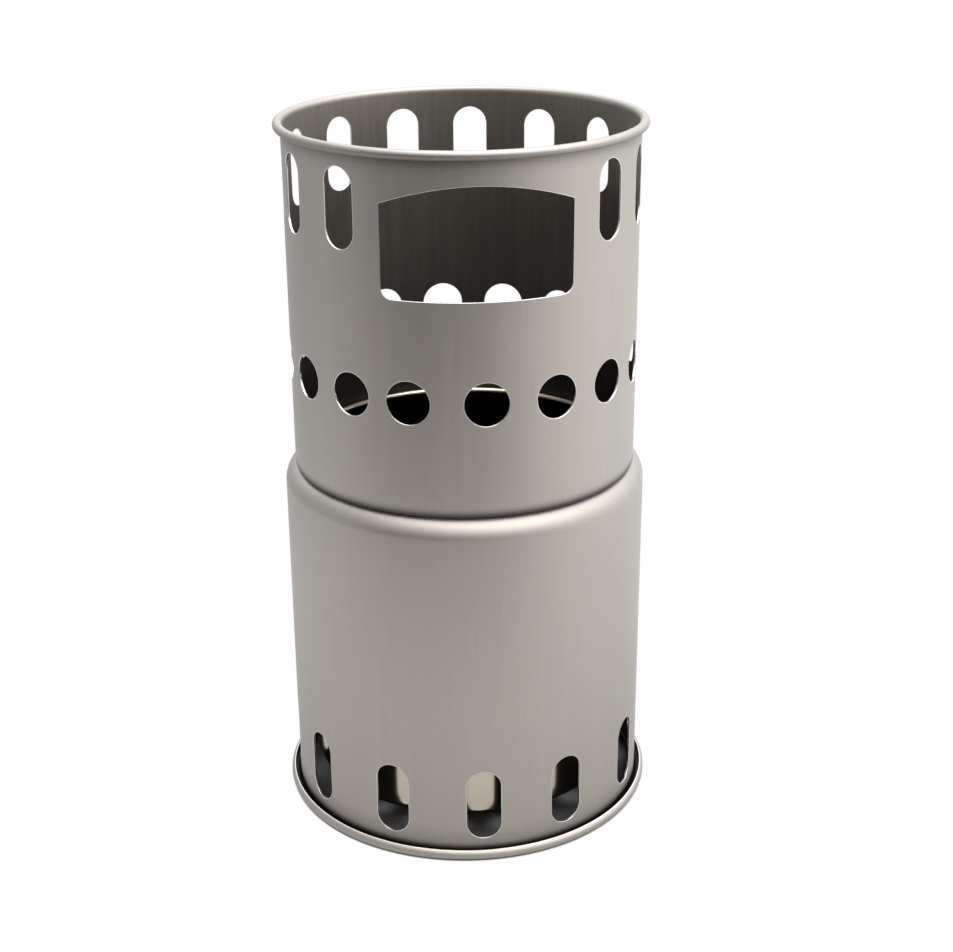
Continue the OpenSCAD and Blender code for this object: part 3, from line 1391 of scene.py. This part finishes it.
@dataclass
class PotStand(DrawnPiece):
    """Pot stand: a turned-in lower edge, a row of round holes, a fuel window, slots and a rolled rim.

    Attributes:
        bead: diameter of the bead rolled round the rim
        flat: depth of the flat that a pot rests on along the rim
        curl: angle that the rim is rolled through
        hem: outer radius of the turned-in lower edge
        hem_turn: angle that the lower edge is turned in
        slot: outline of a slot
        slot_drop: distance from the top of the rim to the upper end of a slot
        slot_free: angle between the two slots on either side of the window
        pattern: angle that the slots and holes are turned from the middle of the window
        slot_strays: angle that each slot is off its even place, in degrees, from the window round
        hole_strays: angle that each round hole is off its even place, in degrees, from the front
        slot_columns: columns of faces in each half of a slot's cell
        window: outline of the fuel window
        window_drop: distance from the top of the rim to the top of the window
        hole: outline of a round hole
        hole_rise: height of the round holes above the lower edge
        slot_rows: rows of faces in a slot's cell
        sill_rows: rows of faces from the window's cell up to the slots' cells
        hole_rows: rows of faces in a hole's cell
        hem_painted_shade: share of the colour that painted shade leaves over the lower edge, by distance up
            the wall in millimetres
        rim_painted_shade: share of the colour that painted shade leaves under the rim, by distance down the
            wall in millimetres
        inner_painted_shades: share of the inner colour that painted shade leaves, by share of the way up to
            the rim
    """

    bead: float = 2.25 * MM
    flat: float = 0.06 * MM
    curl: float = math.radians(250)
    hem: float = 1.2 * MM
    hem_turn: float = math.radians(60)
    slot: RoundEnded = RoundEnded(8.5 * MM, 18.6 * MM)
    slot_drop: float = 5.2 * MM
    slot_free: float = math.radians(90.75)
    pattern: float = math.radians(2.4)
    slot_strays: tuple[float, ...] = (-1, -0.8, 0, -1, 0.6, 1.7, 1.4, 3.2, 4.3, 0.2, -3.7, -2.4)
    hole_strays: tuple[float, ...] = (-0.4, 0.2, 0, 0, 0, 0, 0, 0, 0, 0, 0, 0, 0, 0, -0.2, -2.4)
    slot_columns: int = 7
    window: ArchedWindow = ArchedWindow(43 * MM, 25.65 * MM, 56 * MM, 2.4 * MM)
    window_drop: float = 7.9 * MM
    hole: RoundEnded = RoundEnded(10.4 * MM, 10.4 * MM)
    hole_rise: float = 27.9 * MM
    slot_rows: int = 30
    sill_rows: int = 8
    hole_rows: int = 14
    # Painted shade over the lower edge, under the rim and inside, darker lower down.
    hem_painted_shade: Stops = (
        (0.0, 0.25), (0.25, 0.4), (0.5, 0.55), (0.8, 0.7), (1.2, 0.84), (1.6, 0.95), (2.2, 1.0),
    )
    rim_painted_shade: Stops = ((4.8, 1.0), (3.3, 0.9), (2.3, 0.75), (1.3, 0.58), (0.0, 0.3))
    inner_painted_shades: Stops = ((0.0, 0.25), (0.2, 0.45), (0.4, 0.68), (0.65, 0.75))

    def section(self) -> SheetSection:
        """Section from the turned-in lower edge, up the wall and over the rim."""
        inner = self.bead / 2 - self.sheet.thickness
        start_r = self.wall - self.hem * (1 - math.cos(self.hem_turn))
        section = SheetSection(start_r, self.low.z, QUARTER - self.hem_turn)
        section.bend(self.hem, self.hem_turn, Turn.LEFT, self.sheet.bend_step)
        section.straight(self.high.z - self.bead / 2 + self.flat - section.height)
        return section.bend(inner, self.curl, Turn.RIGHT, self.sheet.bend_step)

    def slot_angles(self) -> list[float]:
        """Angles that the slots stand at, from one side of the window round to the other."""
        step = (FULL_TURN - self.slot_free) / (len(self.slot_strays) - 1)
        first = self.pattern + self.slot_free / 2
        return [first + index * step + math.radians(stray) for index, stray in enumerate(self.slot_strays)]

    def painted_shades(self, section: SheetSection) -> PaintedShades:
        """Painted shade: a dark lower edge, a dark band under the rim, a dark underside of the curl and an
        inside that is darker lower down, with a painted lighter band just inside the rim.
        """
        hem, top, end = section.marks[0], section.marks[1], section.run
        curl = end - top
        # Painted shade: the lower edge, the band under the rim and the curl's end are darkened.
        facing = [(0.0, 0.05), (0.5 * hem, 0.14), *stops_from(hem, self.hem_painted_shade)]
        facing += [*stops_from(top, self.rim_painted_shade, -1), (end, 0.15)]
        # Painted shade inside, darker lower down, with a painted lighter band just under the rim and a darker
        # curl.
        back = [(share * top, level) for share, level in self.inner_painted_shades]
        back += [(top - 15 * MM, 1.0), (top - MM, 1.2), (top, 1.0)]
        back += [(top + 0.7 * curl, 1.0), (top + 0.8 * curl, 0.55), (end, 0.45)]
        return PaintedShades(facing, back, [(0.0, 1.0), (top - FADE, 1.0), (top, 0.0), (end, 0.0)])

    def window_band(self, section: SheetSection, sill: float, low: float, high: float) -> Band:
        """Band with the slots and the fuel window.

        Args:
            section: the piece's section
            sill: run of the band's lower side
            low: run at which the slots' cells start
            high: run of the band's upper side

        Returns:
            The band.
        """
        panel = Blank(self.sheet)
        beside = even(low, high, self.slot_rows)
        below = even(sill, low, self.sill_rows)
        angles = self.slot_angles()
        start = edge = round(angles[0] / COLUMN) - self.slot_columns
        for angle in angles:
            left = round(angle / COLUMN) - self.slot_columns
            right = left + 2 * self.slot_columns
            if left > edge:
                panel.plain(columns_between(edge, left), beside)
            punch = WallPunch(angle, (low + high) / 2, self.wall)
            panel.punched(columns_between(left, right), beside, self.slot, punch)
            edge = right
        panel.plain(columns_between(start, edge), below)
        top = section.run_at(self.high.z - self.window_drop, 0)
        columns = columns_between(edge - cell_width(1), start)
        panel.punched(columns, below + beside[1:], self.window, WallPunch(0.0, top, self.wall))
        return Band(panel, 1)

    def bands(self, section: SheetSection) -> list[Band]:
        """Lower edge, row of holes, wall, slots with the window, and rim."""
        hold, rim = self.sheet.hold, section.run
        holes = section.run_at(self.low.z + self.hole_rise, 0)
        hole_reach = self.reach(self.hole)
        slots = section.run_at(self.high.z - self.slot_drop - self.slot.height / 2, 0)
        slot_reach = self.reach(self.slot)
        top = section.run_at(self.high.z - self.window_drop, 0)
        sill = top - self.window.height - self.margin
        copies = len(self.slot_strays)
        return [
            self.edge_band(0.0, End.START, copies),
            self.plain_band(section, hold, holes - hole_reach, copies),
            self.uneven_band(self.hole, self.hole_strays, holes, self.hole_rows, self.pattern),
            self.plain_band(section, holes + hole_reach, sill, copies),
            self.window_band(section, sill, slots - slot_reach, slots + slot_reach),
            self.plain_band(section, slots + slot_reach, rim - hold, copies),
            self.edge_band(rim, End.FINISH, copies),
        ]


@dataclass(frozen=True)
class PhotoCamera:
    """Camera that looks at the stove from where the photograph was taken.

    Attributes:
        place: where it stands
        heading: angle that it looks along, from +Y towards +X
        pitch: angle that it looks down
        roll: angle that it is rolled by
        lens: focal length in millimetres
        sensor: width of the sensor in millimetres
        clip: nearest and furthest distance that it sees
    """

    place: tuple[float, float, float] = (-35.75 * MM, -402.6 * MM, 245.7 * MM)
    heading: float = math.radians(5.5)
    pitch: float = math.radians(21.848)
    roll: float = math.radians(-0.4196)
    lens: float = 64.58
    sensor: float = 36.0
    clip: Span = (0.01, 50.0)

    def build(self) -> bpy.types.Object:
        """Creates the camera and makes it the scene's own."""
        camera = bpy.data.cameras.new("photo_camera")
        camera.lens, camera.sensor_width = self.lens, self.sensor
        camera.clip_start, camera.clip_end = self.clip
        sin_heading, cos_heading = math.sin(self.heading), math.cos(self.heading)
        sin_pitch, cos_pitch = math.sin(self.pitch), math.cos(self.pitch)
        sin_roll, cos_roll = math.sin(self.roll), math.cos(self.roll)
        forward = Vector((sin_heading * cos_pitch, cos_heading * cos_pitch, -sin_pitch))
        right = Vector((cos_heading, -sin_heading, 0.0))
        up = right.cross(forward)
        across = right * cos_roll + up * sin_roll
        upright = up * cos_roll - right * sin_roll
        turned = Matrix((across, upright, -forward)).transposed()
        seat = stand("photo_camera", camera)
        seat.matrix_world = Matrix.Translation(self.place) @ turned.to_4x4()
        bpy.context.scene.camera = seat
        return seat


@dataclass(frozen=True)
class Softbox:
    """Soft lamp that looks at the stove.

    Attributes:
        name: name of the lamp
        azimuth: angle that it stands at, in degrees from -Y towards +X
        elevation: angle above the floor, in degrees
        distance: distance from the stove's middle
        size: width and height of its face
        level: brightness of its face, where 1 is white
        aim: height of the stove's middle
        white_watts: watts for each square metre of a face that is white
    """

    name: str
    azimuth: float
    elevation: float
    distance: float
    size: tuple[float, float]
    level: float
    aim: float = 90 * MM
    white_watts: float = 4.0

    def build(self) -> bpy.types.Object:
        """Creates the lamp."""
        lamp = bpy.data.lights.new(self.name, "AREA")
        lamp.shape = "RECTANGLE"
        lamp.size, lamp.size_y = self.size
        lamp.energy = self.level * self.white_watts * self.size[0] * self.size[1]
        around, above = math.radians(self.azimuth), math.radians(self.elevation)
        flat = self.distance * math.cos(above)
        rise = self.distance * math.sin(above)
        away = Vector((flat * math.sin(around), -flat * math.cos(around), rise))
        seat = stand(self.name, lamp)
        seat.location = away + Vector((0.0, 0.0, self.aim))
        seat.rotation_euler = (-away).to_track_quat("-Z", "Y").to_euler()
        return seat


@dataclass(frozen=True)
class Studio:
    """Pale floor, soft lamps and a pale dome.

    The camera sees a white floor and dome. Every other ray, and so the metal, sees levels by direction,
    where 1 is white. Angles run from -Y towards +X, in degrees.

    Attributes:
        floor_size: width of the floor
        cover_reach: distance within which the stove counts as cover over the floor
        cover_samples: rays that feel for it
        open_span: openness at which the floor starts to turn white, and at which it is white
        covered_span: openness under the stove, from none to the most that its slots let in
        covered_painted_shades: colour of the covered floor at those two, darker with less openness as painted
            shade
        near_levels: brightness of the floor round the foot, by distance from the axis
        far_share: how far the brightness has gone over to the far one, by distance
        far_levels: brightness of the floor far out and of the dome at the horizon, by angle
        high_levels: brightness of the dome at half height, by angle
        rise: how far the brightness has gone over from the horizon's, by height in degrees
        crown: how far it has gone over to the top's, by height in degrees
        top_level: brightness of the dome's top
        side_tint: colour of the light from the sides
        side_share: how far the light has that colour, by angle
        lamps: the soft lamps
    """

    floor_size: float = 12.0
    cover_reach: float = 0.2
    cover_samples: int = 16
    open_span: Span = (0.26, 0.52)
    covered_span: Span = (0.0, 0.2)
    # Painted shade: the covered floor's colour by openness.
    covered_painted_shades: Span = (0.01, 0.45)
    near_levels: Stops = ((0.0, 0.6), (0.055, 0.6), (0.08, 0.7), (0.12, 0.85), (0.18, 1.0), (0.5, 1.0))
    far_share: Stops = ((0.0, 0.0), (0.15, 0.0), (0.22, 0.35), (0.28, 0.6), (0.36, 0.8), (0.5, 1.0))
    far_levels: Stops = (
        (-180, 0.8), (-150, 0.66), (-120, 0.54), (-95, 0.57), (-75, 0.45), (-60, 0.21), (-45, 0.03),
        (0, 0.02), (15, 0.13), (30, 0.46), (45, 0.82), (60, 1.07), (90, 1.25), (120, 1.15), (150, 0.95),
        (180, 0.8),
    )
    high_levels: Stops = (
        (-180, 2.0), (-150, 1.6), (-120, 0.6), (-90, 0.4), (-45, 0.8), (-15, 1.5), (0, 1.9), (30, 2.3),
        (60, 2.4), (90, 2.2), (120, 2.1), (180, 2.0),
    )
    rise: Stops = ((0, 0.0), (6, 0.0), (14, 0.15), (28, 0.6), (42, 1.0), (90, 1.0))
    crown: Stops = ((0, 0.0), (58, 0.0), (72, 1.0), (90, 1.0))
    top_level: float = 3.2
    side_tint: Colour = (0.93, 0.975, 1.0)
    side_share: Stops = (
        (-180, 1.0), (-130, 1.0), (-85, 0.3), (-60, 0.1), (0, 0.0), (30, 0.1), (60, 0.3), (85, 0.45),
        (130, 1.0), (180, 1.0),
    )
    lamps: tuple[Softbox, ...] = (
        Softbox("top_box", 0.0, 84.0, 0.9, (0.8, 0.8), 0.35),
        Softbox("right_box", 60.0, 48.0, 1.2, (0.6, 0.6), 0.3),
        Softbox("left_box", -60.0, 48.0, 1.2, (0.6, 0.6), 0.1),
    )

    def build(self) -> None:
        """Builds the floor, the dome and the lamps."""
        self._floor()
        self._dome()
        for lamp in self.lamps:
            lamp.build()

    def _floor(self) -> None:
        """Lays the floor."""
        half = self.floor_size / 2
        mesh = bpy.data.meshes.new("floor")
        corners = [(-half, -half, 0.0), (half, -half, 0.0), (half, half, 0.0), (-half, half, 0.0)]
        mesh.from_pydata(corners, [], [(0, 1, 2, 3)])
        mesh.materials.append(self._floor_finish())
        stand("floor", mesh)

    def _floor_finish(self) -> bpy.types.Material:
        """Pale floor: to the camera white in the open, and a lit matt one under and round the stove that
        ambient occlusion blends in as a painted shadow, its colour darkened there as painted shade.
        """
        material = bpy.data.materials.new("pale_floor")
        wiring = Wiring.on(material)
        feeler = {"Distance": self.cover_reach}
        openness = wiring.add("ShaderNodeAmbientOcclusion", feeler, samples=self.cover_samples).outputs["AO"]
        open_air = wiring.remap(openness, self.open_span, kind="SMOOTHSTEP")
        # Painted shade: the covered floor is darker where the stove hides more of the dome.
        shaded_albedo = wiring.remap(openness, self.covered_span, self.covered_painted_shades)
        covered = wiring.value("ShaderNodeBsdfDiffuse", {"Color": shaded_albedo})
        white = wiring.value("ShaderNodeEmission", {"Color": (*WHITE, 1.0)})
        seen = wiring.value("ShaderNodeMixShader", {0: open_air, 1: covered, 2: white})
        place = wiring.add("ShaderNodeTexCoord").outputs["Object"]
        angle = self._angle(wiring, wiring.split(place))
        away = wiring.add("ShaderNodeVectorMath", {0: place}, operation="LENGTH").outputs["Value"]
        near, far = wiring.ramp(away, self.near_levels), wiring.ramp(angle, self.far_levels)
        level = wiring.blend(wiring.ramp(away, self.far_share), near, far)
        # Painted shadow: the floor's glow in the metal dims where the stove covers it.
        glow = {"Color": self._tint(wiring, angle), "Strength": wiring.calc("MULTIPLY", level, open_air)}
        mirrored = wiring.value("ShaderNodeEmission", glow)
        looked_at = wiring.add("ShaderNodeLightPath").outputs["Is Camera Ray"]
        shown = wiring.value("ShaderNodeMixShader", {0: looked_at, 1: mirrored, 2: seen})
        wiring.add("ShaderNodeOutputMaterial", {"Surface": shown})
        return material

    @staticmethod
    def _angle(wiring: Wiring, axes: bpy.types.NodeOutputs) -> Socket:
        """Angle of a place round the axis, in degrees from -Y towards +X."""
        turned = wiring.calc("ARCTAN2", axes[0], wiring.calc("MULTIPLY", axes[1], -1.0))
        return wiring.calc("DEGREES", turned)

    def _tint(self, wiring: Wiring, angle: Socket) -> Socket:
        """Colour of the light from an angle: white from the front and cooler from the sides and behind."""
        return wiring.tint(wiring.ramp(angle, self.side_share), WHITE, self.side_tint)

    def _dome(self) -> None:
        """Puts a dome round the scene: white to the camera, brightest overhead in the metal."""
        world = bpy.data.worlds.new("pale_dome")
        wiring = Wiring.on(world)
        axes = wiring.split(wiring.add("ShaderNodeTexCoord").outputs["Generated"])
        angle = self._angle(wiring, axes)
        height = wiring.calc("DEGREES", wiring.calc("ARCSINE", axes[2]))
        low, high = wiring.ramp(angle, self.far_levels), wiring.ramp(angle, self.high_levels)
        risen = wiring.blend(wiring.ramp(height, self.rise), low, high)
        level = wiring.blend(wiring.ramp(height, self.crown), risen, self.top_level)
        looked_at = wiring.add("ShaderNodeLightPath").outputs["Is Camera Ray"]
        glow = {
            "Color": wiring.tint(looked_at, self._tint(wiring, angle), WHITE),
            "Strength": wiring.blend(looked_at, level, 1.0),
        }
        shown = wiring.value("ShaderNodeBackground", glow)
        wiring.add("ShaderNodeOutputWorld", {"Surface": shown})
        bpy.context.scene.world = world


def main() -> None:
    """Builds the camera, the studio and the three pieces."""
    logging.basicConfig(level=logging.INFO, format="%(name)s: %(message)s")
    bpy.context.scene.view_settings.view_transform = "Standard"
    PhotoCamera().build()
    Studio().build()
    tree = PressTree()
    # The third colour of each finish is its inner skin's, darkened as painted shade.
    warm = SatinTitanium("satin_titanium", (0.52, 0.478, 0.437), (0.26, 0.235, 0.205))
    cream = SatinTitanium(
        "drawn_titanium", (0.70, 0.635, 0.52), (0.22, 0.195, 0.16), roughness=0.08, streak_tone=0.06
    )
    pieces: tuple[DrawnPiece, ...] = (
        BaseShell("base_shell", "titanium_base", warm),
        Firebox("firebox", "titanium_firebox", cream),
        PotStand("pot_stand", "titanium_stand", warm),
    )
    for piece in pieces:
        made = piece.build(tree)
        LOG.info("%s stands for %s", made.name, piece.node)
    bpy.context.view_layer.update()


if __name__ == "__main__":
    main()
